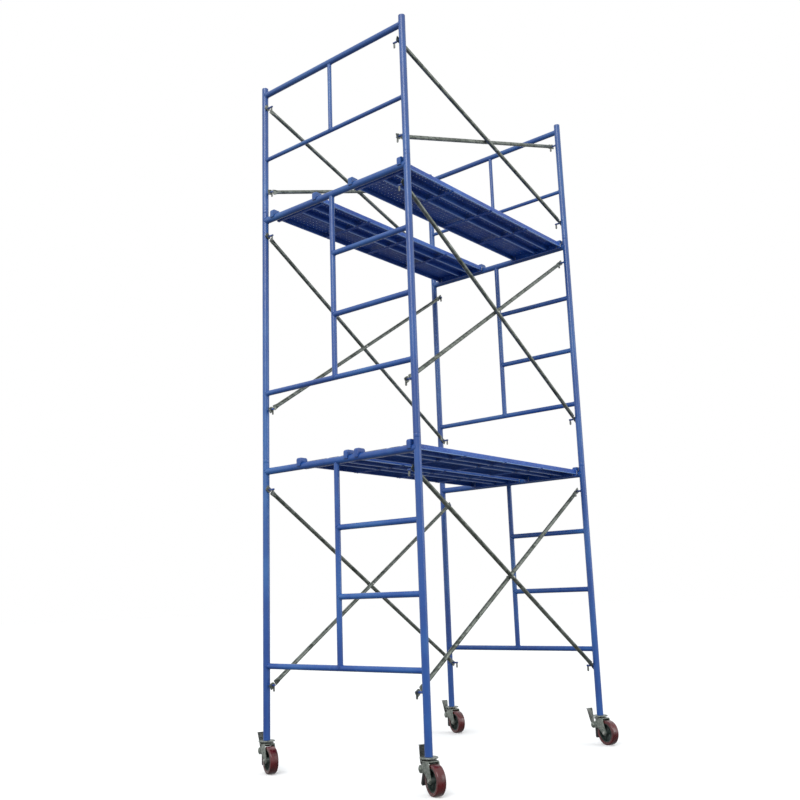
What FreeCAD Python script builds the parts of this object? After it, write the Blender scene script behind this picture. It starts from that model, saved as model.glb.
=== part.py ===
import FreeCAD, Part
import os
import Sketcher
from FreeCAD import Rotation, Vector

# Rolling frame scaffold: two stacked lifts of ladder frames with a guard frame on top, six
# X-braces, four hook-on steel planks and four braked swivel casters.
# Frame of the model: X runs along the bay (end A at -X, end B at +X), Y runs across the frames
# ("right" is -Y, "left" is +Y), Z is up, and the origin is on the floor under the tower's middle.

doc = FreeCAD.newDocument("rolling_scaffold")
sheet = doc.addObject("Spreadsheet::Sheet", "Sizes")

SIZES = {
    # tower
    "bay_length": 1829,           # leg axis to leg axis along X
    "frame_width": 1219,          # leg axis to leg axis along Y
    "ladder_leg": 1651,           # length of a ladder frame's leg tube
    "guard_leg": 889,             # length of a guard frame's leg tube
    "collar_height": 25,          # coupling pin collar between two stacked legs
    "header_drop": 54,            # header axis below the leg's top end
    "bottom_rail_height": 422,    # bottom rail axis above the leg's bottom end
    "guard_rail_height": 356,     # guard mid rail axis above the leg's bottom end
    "caster_height": 180,         # floor to the leg's bottom end
    # tubes, outside diameters and walls
    "leg_tube": 42.4,
    "rung_tube": 33.4,
    "guard_top_tube": 38.1,
    "guard_rail_tube": 26.9,
    "tube_wall": 2.3,
    # coupling pins
    "pin_diameter": 36.8,
    "pin_reach": 100,             # into each of the two legs
    "swage_length": 110,          # lower end of a guard leg, sized closely to the pin
    "swage_bore": 37.4,
    # studs and flip latches, heights above the leg's bottom end
    "stud_diameter": 12.7,
    "stud_tip": 72,               # from the leg's axis
    "stud_low": 313,
    "stud_high": 1481,
    "guard_stud_low": 113,
    "guard_stud_high": 733,
    "latch_pivot": 64,            # from the leg's axis
    "latch_pin_diameter": 4,
    "latch_thickness": 3,
    "latch_width": 12,
    "latch_drop": 30,
    "latch_slot": 3.8,
    # cross braces
    "brace_tube": 25.4,
    "brace_wall": 1.8,
    "brace_flat_thickness": 5,
    "brace_flat_width": 34,
    "brace_flat_length": 62,      # from the hole to the round tube
    "brace_hole": 13.6,
    "falling_offset": 27,         # brace axis inboard of the leg's axis
    "rising_offset": 53.2,
    "rivet_diameter": 9,
    # planks, heights from the header axis
    "plank_length": 1765,
    "plank_width": 414,
    "plank_top": 30,
    "plank_edge_bottom": 0,
    "plank_sheet": 2,
    "plank_lip": 13,
    "side_rib": -95,              # rib centres from the plank's centre line
    "middle_rib": 3,
    "rib_width": 20,
    "rib_bottom": -3,
    "stiffener_spacing": 428,
    "stiffener_width": 26,
    "stiffener_bottom": -5,
    "stiffener_height": 6,
    "end_channel_depth": 43,
    "hook_pitch": 390,
    "hook_width": 30,
    "hook_cheek": 5,
    "hook_bore": 43.2,
    "hook_nose": 29,              # header axis to the hook's outer face
    "hook_top": 50,
    "hook_tip": -3,
    "hook_corner": 14,
    "right_plank_y": -374,
    "middle_plank_y": 98,
    "left_plank_y": 325,
    # casters, local frame: swivel axis on Z, the wheel trails towards +X
    "heading_a_right": 245,       # direction of trail, from the tower's X
    "heading_a_left": 247,
    "heading_b_right": 250,
    "heading_b_left": 248,
    "wheel_diameter": 152,
    "trail": 64,
    "tyre_width": 50,
    "tyre_inner": 116,
    "tyre_shoulder": 7,
    "rim_width": 44,
    "rim_wall": 7,
    "web_width": 10,
    "hub_boss": 34,
    "hub_length": 55,
    "hub_hole": 20,
    "hub_hole_circle": 66,
    "axle_diameter": 12,
    "axle_head": 22,
    "axle_head_height": 7,
    "running_gap": 0.05,          # radial, between a pin and what turns on it
    "fork_gap": 56,               # between the arms' inner faces
    "fork_plate": 5,
    "fork_crown": 84,
    "crown_plate": 6,
    "crown_top": 165,
    "arm_front": 50,
    "arm_back": -12,
    "arm_axle_round": 34,
    "arm_pivot_round": 40,
    "arm_waist_reach": 8,
    "arm_waist_height": 104,
    "stem_diameter": 36.8,
    "stem_reach": 100,
    "top_plate": 97,
    "top_plate_height": 6,
    "king_pin": 16,
    "king_pin_head": 28,
    "king_pin_bottom": 152,
    "race_outer": 70,
    "race_inner": 40,
    # brake pedal, pivot on the side away from the trail, heights from the pivot
    "pedal_pivot_reach": 39,
    "pedal_pivot_height": 118,
    "pedal_pin": 8,
    "pedal_pin_head": 26,
    "pedal_pin_head_height": 5,
    "pedal_barrel": 18,
    "pedal_barrel_length": 54,
    "pedal_plate": 4,
    "lever_foot_reach": 36,
    "lever_foot_height": 10,
    "lever_foot_width": 28,
    "lever_top_reach": 59,
    "lever_top_height": 95,
    "lever_top_width": 45,
    "tread_length": 12,
    "shoe_back": 5,
    "shoe_face": 26,
    "shoe_drop": 80,
    "shoe_width": 42,
    "release_angle": 20,          # how far a released pedal stands inward of a pressed one
}

for row, (alias, value) in enumerate(SIZES.items(), start=1):
    sheet.set(f"A{row}", alias)
    sheet.set(f"B{row}", str(value))
    sheet.setAlias(f"B{row}", alias)
doc.recompute()

NODES = []


# ---------------------------------------------------------------- building helpers

def use(text):
    """Prefix every size name in an expression with the sheet's name."""
    words = []
    for word in text.split():
        words.append("Sizes." + word if word in SIZES else word)
    return " ".join(words)


def value_of(text):
    """The number that an expression of sizes gives."""
    return float(sheet.evalExpression(use(text)))


def bind(item, **rules):
    for name, rule in rules.items():
        item.setExpression(name, use(rule))


def place(item, x="0", y="0", z="0", turn=None):
    """Bind an object's position; turn is a fixed Rotation."""
    if turn is not None:
        item.Placement = FreeCAD.Placement(Vector(0, 0, 0), turn)
    for axis, rule in zip("xyz", (x, y, z)):
        item.setExpression("Placement.Base." + axis, use(rule))


ALONG = {
    "X": Rotation(Vector(0, 1, 0), 90),
    "Y": Rotation(Vector(1, 0, 0), -90),
    "Z": Rotation(),
}


def cylinder(diameter, length, x="0", y="0", z="0", along="Z"):
    """A round bar that starts at (x, y, z) and runs along +X, +Y or +Z."""
    item = doc.addObject("Part::Cylinder", "Cylinder")
    bind(item, Radius=f"( {diameter} ) / 2", Height=length)
    place(item, x, y, z, ALONG[along])
    return item


def block(length, width, height, x="0", y="0", z="0"):
    """A box centred on x and y that stands on z."""
    item = doc.addObject("Part::Box", "Block")
    bind(item, Length=length, Width=width, Height=height)
    place(item, f"{x} - ( {length} ) / 2", f"{y} - ( {width} ) / 2", z)
    return item


def cut(base, *tools):
    item = doc.addObject("Part::Cut", "Cut")
    item.Base = base
    item.Tool = tools[0] if len(tools) == 1 else fuse(*tools)
    return item


def fuse(*shapes):
    item = doc.addObject("Part::MultiFuse", "Fuse")
    item.Shapes = list(shapes)
    return item


def group(*shapes):
    """Separate solids that share one node."""
    item = doc.addObject("Part::Compound", "Group")
    item.Links = list(shapes)
    return item


def node(label, item, x="0", y="0", z="0", turn=None):
    """Place a finished sub-part in the tower and give it its name."""
    place(item, x, y, z, turn)
    item.Label = label
    NODES.append(item)
    return item


def outline(body, plane, points):
    """A closed sketch through the points, each held by two bound distances."""
    sketch = body.newObject("Sketcher::SketchObject", "Outline")
    origin = [f for f in body.Origin.OriginFeatures if f.Role == plane][0]
    sketch.AttachmentSupport = (origin, "")
    sketch.MapMode = "FlatFace"
    spots = [Vector(value_of(a), value_of(b), 0) for a, b in points]
    count = len(spots)
    for i in range(count):
        sketch.addGeometry(Part.LineSegment(spots[i], spots[(i + 1) % count]), False)
    add_constraints(sketch, points, spots)
    return sketch


def add_constraints(sketch, points, spots):
    """Join the outline's lines end to end and tie each corner to the sheet."""
    count = len(spots)
    for i in range(count):
        sketch.addConstraint(Sketcher.Constraint("Coincident", i, 2, (i + 1) % count, 1))
    for i, (a, b) in enumerate(points):
        for kind, rule, number in (("DistanceX", a, spots[i].x), ("DistanceY", b, spots[i].y)):
            at = sketch.addConstraint(Sketcher.Constraint(kind, -1, 1, i, 1, number))
            sketch.setExpression(f"Constraints[{at}]", use(rule))


def prism(plane, points, length):
    """A PartDesign body: one outline on an origin plane, padded by length."""
    body = doc.addObject("PartDesign::Body", "Body")
    sketch = outline(body, plane, points)
    pad = body.newObject("PartDesign::Pad", "Pad")
    pad.Profile = sketch
    bind(pad, Length=length)
    return body


def turned(points):
    """A PartDesign body: an outline on the XZ plane turned about the Z axis."""
    body = doc.addObject("PartDesign::Body", "Body")
    sketch = outline(body, "XZ_Plane", points)
    spin = body.newObject("PartDesign::Revolution", "Revolution")
    spin.Profile = sketch
    spin.ReferenceAxis = (sketch, ["V_Axis"])
    spin.Angle = 360
    return body


# ---------------------------------------------------------------- welded frames

ENDS = {"a": "- bay_length / 2", "b": "bay_length / 2"}
SIDES = {"right": "- frame_width / 2", "left": "frame_width / 2"}
PITCH = "( ladder_leg + collar_height )"
LIFTS = {
    "lower": "caster_height",
    "upper": f"( caster_height + {PITCH} )",
    "guard": f"( caster_height + 2 * {PITCH} )",
}


def pipe(diameter, length, x="0", y="0", z="0", along="Z"):
    """An open-ended tube."""
    outer = cylinder(diameter, length, x, y, z, along)
    inner = cylinder(f"{diameter} - 2 * tube_wall", length, x, y, z, along)
    return cut(outer, inner)


def leg(side, length):
    return pipe("leg_tube", length, y=SIDES[side])


def guard_leg(side):
    """A leg tube whose lower end is swaged to hold the coupling pin closely."""
    y = SIDES[side]
    outer = cylinder("leg_tube", "guard_leg", y=y)
    bore = cylinder("leg_tube - 2 * tube_wall", "guard_leg - swage_length", y=y,
                    z="swage_length")
    seat = cylinder("swage_bore", "swage_length", y=y)
    return cut(outer, bore, seat)


def leg_cutter(side, length):
    return cylinder("leg_tube", length, y=SIDES[side])


def cross_tube(diameter, height, start, end, cutters):
    """A tube along Y whose ends are coped to the uprights that it meets."""
    tube = pipe(diameter, f"{end} - ( {start} )", y=start, z=height, along="Y")
    return cut(tube, *cutters)


def ladder_frame():
    """Two legs, header, bottom rail, a middle stile and two rungs on the right."""
    rail = "bottom_rail_height"
    header = "( ladder_leg - header_drop )"
    right, left = SIDES["right"], SIDES["left"]
    legs = [leg(side, "ladder_leg") for side in SIDES]

    def cutters():
        return [leg_cutter(side, "ladder_leg") for side in SIDES]

    tubes = [
        cross_tube("leg_tube", header, right, left, cutters()),
        cross_tube("rung_tube", rail, right, left, cutters()),
    ]
    stile = pipe("rung_tube", f"{header} - {rail}", z=rail)
    ends = [
        cylinder("leg_tube", "frame_width", y=right, z=header, along="Y"),
        cylinder("rung_tube", "frame_width", y=right, z=rail, along="Y"),
    ]
    tubes.append(cut(stile, *ends))
    for step in (1, 2):
        height = f"{rail} + ( {header} - {rail} ) * {step} / 3"
        stops = [leg_cutter("right", "ladder_leg"), cylinder("rung_tube", "ladder_leg")]
        tubes.append(cross_tube("rung_tube", height, right, "0", stops))
    return group(*legs, *tubes)


def guard_frame():
    """Two short legs, top rail, mid rail and a short middle stile."""
    rail = "guard_rail_height"
    top = "( guard_leg - header_drop )"
    right, left = SIDES["right"], SIDES["left"]
    tubes = [guard_leg(side) for side in SIDES]
    for diameter, height in (("guard_top_tube", top), ("guard_rail_tube", rail)):
        stops = [leg_cutter(side, "guard_leg") for side in SIDES]
        tubes.append(cross_tube(diameter, height, right, left, stops))
    stile = pipe("guard_rail_tube", f"{top} - {rail}", z=rail)
    ends = [
        cylinder("guard_top_tube", "frame_width", y=right, z=top, along="Y"),
        cylinder("guard_rail_tube", "frame_width", y=right, z=rail, along="Y"),
    ]
    tubes.append(cut(stile, *ends))
    return group(*tubes)


for end, end_x in ENDS.items():
    for lift in ("lower", "upper"):
        node(f"frame_{lift}_{end}", ladder_frame(), x=end_x, z=LIFTS[lift])
    node(f"frame_guard_{end}", guard_frame(), x=end_x, z=LIFTS["guard"])


# ---------------------------------------------------------------- coupling pins

def coupling_pin(x, y, z):
    """A pin that fills both legs' ends, with a collar that the upper leg stands on."""
    pin = cylinder("pin_diameter", "collar_height + 2 * pin_reach", x, y, f"{z} - pin_reach")
    collar = cylinder("leg_tube", "collar_height", x, y, z)
    return fuse(pin, collar)


pins = []
for end_x in ENDS.values():
    for side_y in SIDES.values():
        for lift in ("upper", "guard"):
            pins.append(coupling_pin(end_x, side_y, f"{LIFTS[lift]} - collar_height"))
node("coupling_pins", group(*pins))


# ---------------------------------------------------------------- studs and latches

STUDS = {
    "lower": ("stud_low", "stud_high"),
    "upper": ("stud_low", "stud_high"),
    "guard": ("guard_stud_low", "guard_stud_high"),
}
def inboard(side, distance):
    """Y of a point that lies a distance inboard of a side's leg axes."""
    sign = {"right": "+", "left": "-"}[side]
    return f"{SIDES[side]} {sign} ( {distance} )"


def along_stud(diameter, start, end, x, side, z):
    """A round bar along a stud, between two distances inboard of the leg's axis."""
    first = start if side == "right" else end
    return cylinder(diameter, f"{end} - ( {start} )", x, inboard(side, first), z, "Y")


def stud(x, side, z):
    """A stud that stands on the leg, slotted at its tip, with the latch's pin across it."""
    bar = along_stud("stud_diameter", "leg_tube / 2 - 1.5", "stud_tip", x, side, z)
    bar = cut(bar, cylinder("leg_tube", "40", x, SIDES[side], f"{z} - 20"))
    slot_depth = "( stud_tip - latch_pivot + latch_width / 2 + 1 )"
    slot_middle = inboard(side, f"stud_tip - {slot_depth} / 2 + 0.5")
    slot = block("latch_slot", f"{slot_depth} + 1", "20", x, slot_middle, f"{z} - 10")
    pin = cylinder("latch_pin_diameter", "stud_diameter - 3", f"{x} - stud_diameter / 2 + 1.5",
                   inboard(side, "latch_pivot"), z, "X")
    return fuse(cut(bar, slot), pin)


studs = []
for lift, heights in STUDS.items():
    for height in heights:
        for side in SIDES:
            for end_x in ENDS.values():
                studs.append(stud(end_x, side, f"{LIFTS[lift]} + {height}"))
node("brace_studs", group(*studs))


def latch(x):
    """A flat drop latch that hangs from its pin in the stud's slot."""
    start = f"{x} - latch_thickness / 2"
    strap = block("latch_thickness", "latch_width", "latch_drop", x, "0", "- latch_drop")
    head = cylinder("latch_width", "latch_thickness", start, along="X")
    foot = cylinder("latch_width", "latch_thickness", start, z="- latch_drop", along="X")
    hole = cylinder("latch_pin_diameter + 2 * running_gap", "latch_thickness + 2",
                    f"{start} - 1", along="X")
    return cut(fuse(strap, head, foot), hole)


for lift, heights in STUDS.items():
    for side in SIDES:
        for level, height in zip(("low", "high"), heights):
            pair = group(*[latch(end_x) for end_x in ENDS.values()])
            node(f"latches_{lift}_{side}_{level}", pair,
                 y=inboard(side, "latch_pivot"), z=f"{LIFTS[lift]} + {height}")


# ---------------------------------------------------------------- cross braces

def brace(reach):
    """A tube along X with flattened, holed ends; reach is the hole to hole length."""
    half = f"( {reach} ) / 2"
    inner = f"{half} - brace_flat_length"
    round_part = cut(
        cylinder("brace_tube", f"2 * ( {inner} )", f"- ( {inner} )", along="X"),
        cylinder("brace_tube - 2 * brace_wall", f"2 * ( {inner} )", f"- ( {inner} )", along="X"),
    )
    solids = [round_part]
    holes = []
    for sign in ("-", ""):
        middle = f"{sign} ( {half} - brace_flat_length / 2 + 5 )"
        solids.append(block("brace_flat_length + 10", "brace_flat_thickness",
                            "brace_flat_width", middle, "0", "- brace_flat_width / 2"))
        centre = f"{sign} ( {half} )"
        start = "- brace_flat_thickness / 2"
        solids.append(cylinder("brace_flat_width", "brace_flat_thickness",
                               centre, start, along="Y"))
        holes.append(cylinder("brace_hole", "brace_flat_thickness + 10",
                              centre, f"{start} - 5", along="Y"))
    holes.append(cylinder("rivet_diameter", "brace_tube + 10", "0",
                          "- brace_tube / 2 - 5", along="Y"))
    return cut(fuse(*solids), *holes)


def tilt(item, rise, sign):
    """Turn a brace about Y so that it climbs by rise over the bay's length."""
    item.Placement = FreeCAD.Placement(Vector(0, 0, 0), Rotation(Vector(0, sign, 0), 30))
    item.setExpression("Placement.Rotation.Angle", use(f"atan( ( {rise} ) / bay_length )"))


rivets = []
for lift, (low, high) in STUDS.items():
    rise = f"( {high} - {low} )"
    middle_z = f"{LIFTS[lift]} + ( {high} + {low} ) / 2"
    for side in SIDES:
        for way, offset, sign in (("falling", "falling_offset", 1),
                                  ("rising", "rising_offset", -1)):
            item = brace(f"sqrt( bay_length ^ 2 + {rise} ^ 2 )")
            node(f"brace_{lift}_{side}_{way}", item, y=inboard(side, offset), z=middle_z)
            base = [(k, e) for k, e in item.ExpressionEngine if "Base" in k]
            tilt(item, rise, sign)
            for key, rule in base:
                item.setExpression(key, rule)
        start, end = "falling_offset - brace_tube / 2 - 3", "rising_offset + brace_tube / 2 + 3"
        shank = along_stud("rivet_diameter", start, end, "0", side, middle_z)
        heads = [
            along_stud("rivet_diameter * 2", start, f"{start} + 3", "0", side, middle_z),
            along_stud("rivet_diameter * 2", f"{end} - 3", end, "0", side, middle_z),
        ]
        rivets.append(fuse(shank, *heads))
node("brace_rivets", group(*rivets))


# ---------------------------------------------------------------- hook-on planks

def deck_section():
    """Outline of the folded deck sheet: over the two pressed ribs, round the sides and back."""
    half = "plank_width / 2"
    inner = f"{half} - plank_sheet"
    lip = f"{half} - plank_lip"
    over, under = "plank_top", "plank_top - plank_sheet"
    bottom, bottom_inside = "plank_edge_bottom", "plank_edge_bottom + plank_sheet"
    above, below = [], []
    for rib in ("side_rib", "middle_rib"):
        for sign, order in (("-", 1), ("+", -1)):
            wall = f"{rib} {sign} ( rib_width / 2 - plank_sheet )"
            face = f"{rib} {sign} rib_width / 2"
            above += [(wall, over), (wall, "rib_bottom + plank_sheet")][::order]
            below += [(face, under), (face, "rib_bottom")][::order]
    edge = [(half, over), (half, bottom), (lip, bottom), (lip, bottom_inside),
            (inner, bottom_inside), (inner, under)]
    far_edge = [(f"- ( {a} )", b) for a, b in reversed(edge)]
    return above + edge + below[::-1] + far_edge


def deck():
    """The deck: one sheet with two pressed ribs and folded, lipped sides."""
    body = prism("YZ_Plane", deck_section(), "plank_length")
    place(body, "- plank_length / 2")
    return body


def hook(sign, y):
    """A pressed saddle that hooks over the header tube at one end of a plank."""
    header = f"{sign} ( bay_length / 2 )"
    outer = f"{sign} ( bay_length / 2 + hook_nose )"
    start = "plank_length / 2 - 8"
    length = f"( bay_length / 2 + hook_nose - {start} )"
    middle = f"{sign} ( {start} + {length} / 2 )"
    height = "hook_top - hook_tip"
    shell = block(length, "hook_width", height, middle, y, "hook_tip")
    hollow = block(f"{length} - hook_cheek", "hook_width - 2 * hook_cheek",
                   "hook_top - hook_tip - hook_cheek",
                   f"{middle} - {sign} hook_cheek / 2", y, "hook_tip")
    saddle = cylinder("hook_bore", "hook_width + 2", header, f"{y} - hook_width / 2 - 1",
                      along="Y")
    mouth = block("hook_bore", "hook_width + 2", "20", header, y, "- 20")
    corner = block("hook_corner", "hook_width + 2", "hook_corner",
                   f"{outer} - {sign} hook_corner / 2", y, "hook_top - hook_corner")
    rounding = cylinder("2 * hook_corner", "hook_width + 2", f"{outer} - {sign} hook_corner",
                        f"{y} - hook_width / 2 - 1", "hook_top - hook_corner", "Y")
    return cut(shell, hollow, saddle, mouth, cut(corner, rounding))


def plank():
    """Deck, end channels, cross stiffeners and four hooks, welded together."""
    inside = "( plank_width - 2 * plank_sheet )"
    pieces = [deck()]
    for sign in ("-", ""):
        middle = f"{sign} ( plank_length / 2 - plank_sheet / 2 )"
        pieces.append(block("plank_sheet", inside, "end_channel_depth", middle, "0",
                            "plank_top - plank_sheet - end_channel_depth"))
        for side in ("-", ""):
            pieces.append(hook(sign, f"{side} ( hook_pitch / 2 )"))
    for step in (-1, 0, 1):
        pieces.append(block("stiffener_width", "plank_width - 2 * plank_lip + 2",
                            "stiffener_height", f"{step} * stiffener_spacing", "0",
                            "stiffener_bottom"))
    return pieces


HEADER = "ladder_leg - header_drop"
PLANKS = {
    "plank_lower_right": ("lower", "right_plank_y"),
    "plank_lower_middle": ("lower", "middle_plank_y"),
    "plank_upper_right": ("upper", "right_plank_y"),
    "plank_upper_left": ("upper", "left_plank_y"),
}
for label, (lift, plank_y) in PLANKS.items():
    node(label, fuse(*plank()), y=plank_y, z=f"{LIFTS[lift]} + {HEADER}")


# ---------------------------------------------------------------- casters

def stem(x, y):
    """Stem inside the leg, top plate under the leg's end, and the king pin below it."""
    plate_z = "caster_height - top_plate_height"
    post = cylinder("stem_diameter", "stem_reach", x, y, "caster_height")
    plate = cylinder("top_plate", "top_plate_height", x, y, plate_z)
    pin = cylinder("king_pin", f"{plate_z} - king_pin_bottom", x, y, "king_pin_bottom")
    head = cylinder("king_pin_head", "5", x, y, "king_pin_bottom")
    return fuse(post, plate, pin, head)


def race(x, y):
    """The fixed ball race ring between top plate and fork crown."""
    bottom = "crown_top + 0.4"
    height = "caster_height - top_plate_height - crown_top - 0.4"
    ring = cylinder("race_outer", height, x, y, bottom)
    return cut(ring, cylinder("race_inner", height, x, y, bottom))


CORNERS = {f"{end}_{side}": (end_x, side_y)
           for end, end_x in ENDS.items() for side, side_y in SIDES.items()}
RELEASED = ("a_right",)
node("caster_stems", group(*[stem(x, y) for x, y in CORNERS.values()]))
node("caster_races", group(*[race(x, y) for x, y in CORNERS.values()]))


def across(diameter, length, x="0", z="0"):
    """A round bar along local Y, centred between the fork's arms."""
    return cylinder(diameter, length, x, f"- ( {length} ) / 2", z, "Y")


def fork():
    """Crown and two arms, with round ears that carry the brake pedal's pin."""
    axle_z = "wheel_diameter / 2"
    pivot_x = "- pedal_pivot_reach"
    points = [
        ("arm_back", "crown_top"), ("arm_front", "crown_top"),
        ("trail + arm_axle_round / 2 * 0.98", f"{axle_z} + 5"),
        ("trail - arm_axle_round / 2 * 0.82", f"{axle_z} - 9"),
        ("arm_waist_reach", "arm_waist_height"),
        (f"{pivot_x} + 2", "pedal_pivot_height - arm_pivot_round / 2"),
        (f"{pivot_x} + 4", "pedal_pivot_height + arm_pivot_round / 2 - 1"),
        ("arm_back - 3", "pedal_pivot_height + arm_pivot_round / 2 + 2"),
    ]
    arms = []
    for start in ("fork_gap / 2", "- fork_gap / 2 - fork_plate"):
        arm = prism("XZ_Plane", points, "fork_plate")
        place(arm, y=f"{start} + fork_plate")
        ends = [
            cylinder("arm_axle_round", "fork_plate", "trail", start, axle_z, "Y"),
            cylinder("arm_pivot_round", "fork_plate", pivot_x, start, "pedal_pivot_height", "Y"),
        ]
        arms.append(fuse(arm, *ends))
    crown_z = "crown_top - crown_plate"
    crown = cylinder("fork_crown", "crown_plate", z=crown_z)
    bridge = block("arm_front - arm_back", "fork_gap + 2 * fork_plate", "crown_plate",
                   "( arm_front + arm_back ) / 2", "0", crown_z)
    bore = cylinder("king_pin + 2 * running_gap", "40", z="crown_top - 30")
    axle_bore = across("axle_diameter", "fork_gap + 20", "trail", axle_z)
    outside = "( fork_gap + 2 * fork_plate )"
    pin = across("pedal_pin", f"{outside} + 2", pivot_x, "pedal_pivot_height")
    heads = [
        cylinder("pedal_pin_head", "pedal_pin_head_height", pivot_x, start,
                 "pedal_pivot_height", "Y")
        for start in (f"{outside} / 2", f"- {outside} / 2 - pedal_pin_head_height")
    ]
    return fuse(cut(fuse(crown, bridge, *arms), bore, axle_bore), pin, *heads)


def axle():
    """Wheel bolt with its head and nut outside the fork's arms."""
    height = "wheel_diameter / 2"
    outside = "( fork_gap + 2 * fork_plate )"
    shank = across("axle_diameter", f"{outside} + 2 * axle_head_height + 4", "trail", height)
    heads = [
        cylinder("axle_head", "axle_head_height", "trail", start, height, "Y")
        for start in (f"{outside} / 2", f"- {outside} / 2 - axle_head_height")
    ]
    return fuse(shank, *heads)


def hub():
    """Cast wheel centre: boss, pierced web and rim."""
    rim = "( tyre_inner / 2 - 0.15 )"
    bore = "axle_diameter / 2 + running_gap"
    inner = f"{rim} - rim_wall"
    points = [
        (bore, "- hub_length / 2"), ("hub_boss / 2", "- hub_length / 2"),
        ("hub_boss / 2", "- web_width / 2"), (inner, "- web_width / 2"),
        (inner, "- rim_width / 2"), (rim, "- rim_width / 2"),
        (rim, "rim_width / 2"), (inner, "rim_width / 2"),
        (inner, "web_width / 2"), ("hub_boss / 2", "web_width / 2"),
        ("hub_boss / 2", "hub_length / 2"), (bore, "hub_length / 2"),
    ]
    body = turned(points)
    holes = []
    for step in range(5):
        hole = cylinder("hub_hole", "web_width + 4", z="- web_width / 2 - 2")
        for axis, wave in (("x", "cos"), ("y", "sin")):
            hole.setExpression(f"Placement.Base.{axis}",
                               use(f"hub_hole_circle / 2 * {wave}( {72 * step} deg )"))
        holes.append(hole)
    return cut(body, *holes)


def tyre():
    """Polyurethane tread with sloping shoulders."""
    outer = "wheel_diameter / 2"
    side = "tyre_width / 2"
    points = [
        ("tyre_inner / 2", f"- {side}"), (f"{outer} - tyre_shoulder", f"- {side}"),
        (f"{outer} - tyre_shoulder * 0.3", f"- {side} + tyre_shoulder * 0.35"),
        (outer, f"- {side} + tyre_shoulder"), (outer, f"{side} - tyre_shoulder"),
        (f"{outer} - tyre_shoulder * 0.3", f"{side} - tyre_shoulder * 0.35"),
        (f"{outer} - tyre_shoulder", side), ("tyre_inner / 2", side),
    ]
    return turned(points)


def pedal():
    """Brake pedal about its pivot: a barrel, a flared lever above and a shoe below."""
    foot, top = "- lever_foot_reach", "- lever_top_reach"
    side_view = [
        ("0", "- 3"), (foot, "lever_foot_height"), (top, "lever_top_height"),
        (f"{top} - tread_length", "lever_top_height - 4"),
        (f"{top} - tread_length - 1", "lever_top_height"),
        (f"{top} + 2", "lever_top_height + pedal_plate"),
        (f"{foot} + pedal_plate", "lever_foot_height + pedal_plate"), ("0", "4"),
    ]
    narrow, wide = "lever_foot_width / 2", "lever_top_width / 2"
    high = "( lever_top_height + 20 )"
    half_face = [(narrow, "- 20"), (narrow, "lever_foot_height"), (wide, "lever_top_height"),
                 (wide, high)]
    face_view = half_face + [(f"- {a}", b) for a, b in reversed(half_face)]
    side_prism = prism("XZ_Plane", side_view, "lever_top_width")
    place(side_prism, y="lever_top_width / 2")
    face_prism = prism("YZ_Plane", face_view, "200")
    place(face_prism, "- 150")
    lever = doc.addObject("Part::MultiCommon", "Lever")
    lever.Shapes = [side_prism, face_prism]
    barrel = across("pedal_barrel", "pedal_barrel_length")
    shoe = block("shoe_face - shoe_back", "shoe_width", "shoe_drop",
                 "( shoe_face + shoe_back ) / 2", "0", "- shoe_drop")
    bore = across("pedal_pin + 2 * running_gap", "pedal_barrel_length + 4")
    return cut(fuse(barrel, lever, shoe), bore)


for corner, (x, y) in CORNERS.items():
    name = f"caster_{corner}"
    heading = f"heading_{corner}"
    caster_turn = Rotation(Vector(0, 0, 1), SIZES[heading])
    wheel_turn = caster_turn.multiply(Rotation(Vector(1, 0, 0), 90))
    tilt_angle = SIZES["release_angle"] if corner in RELEASED else 0
    pedal_turn = caster_turn.multiply(Rotation(Vector(0, 1, 0), tilt_angle))

    def ahead(reach):
        """X and Y of a point that lies a reach along the trail from the swivel axis."""
        return [f"{base} + ( {reach} ) * {wave}( {heading} * 1 deg )"
                for base, wave in ((x, "cos"), (y, "sin"))]

    node(f"{name}_fork", fork(), x, y, turn=caster_turn)
    node(f"{name}_axle", axle(), x, y, turn=caster_turn)
    node(f"{name}_hub", hub(), *ahead("trail"), "wheel_diameter / 2", turn=wheel_turn)
    node(f"{name}_tyre", tyre(), *ahead("trail"), "wheel_diameter / 2", turn=wheel_turn)
    node(f"{name}_pedal", pedal(), *ahead("- pedal_pivot_reach"), "pedal_pivot_height",
         turn=pedal_turn)


# ---------------------------------------------------------------- check and export

doc.recompute()
for item in doc.Objects:
    if "Invalid" in item.State or "Error" in item.State:
        raise RuntimeError(f"{item.Label} is in state {item.State}")
for item in NODES:
    if item.Shape.isNull() or not item.Shape.isValid() or not item.Shape.Solids:
        raise RuntimeError(f"{item.Label} has no valid shape")

os.makedirs("parts", exist_ok=True)
for item in NODES:
    item.Shape.exportStep(f"parts/{item.Label}.step")
print(len(NODES), "sub-parts written")
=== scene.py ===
"""Looks of the rolling frame scaffold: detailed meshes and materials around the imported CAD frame."""
import math
import random

import bmesh
import bpy
from mathutils import Matrix, Vector


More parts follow.
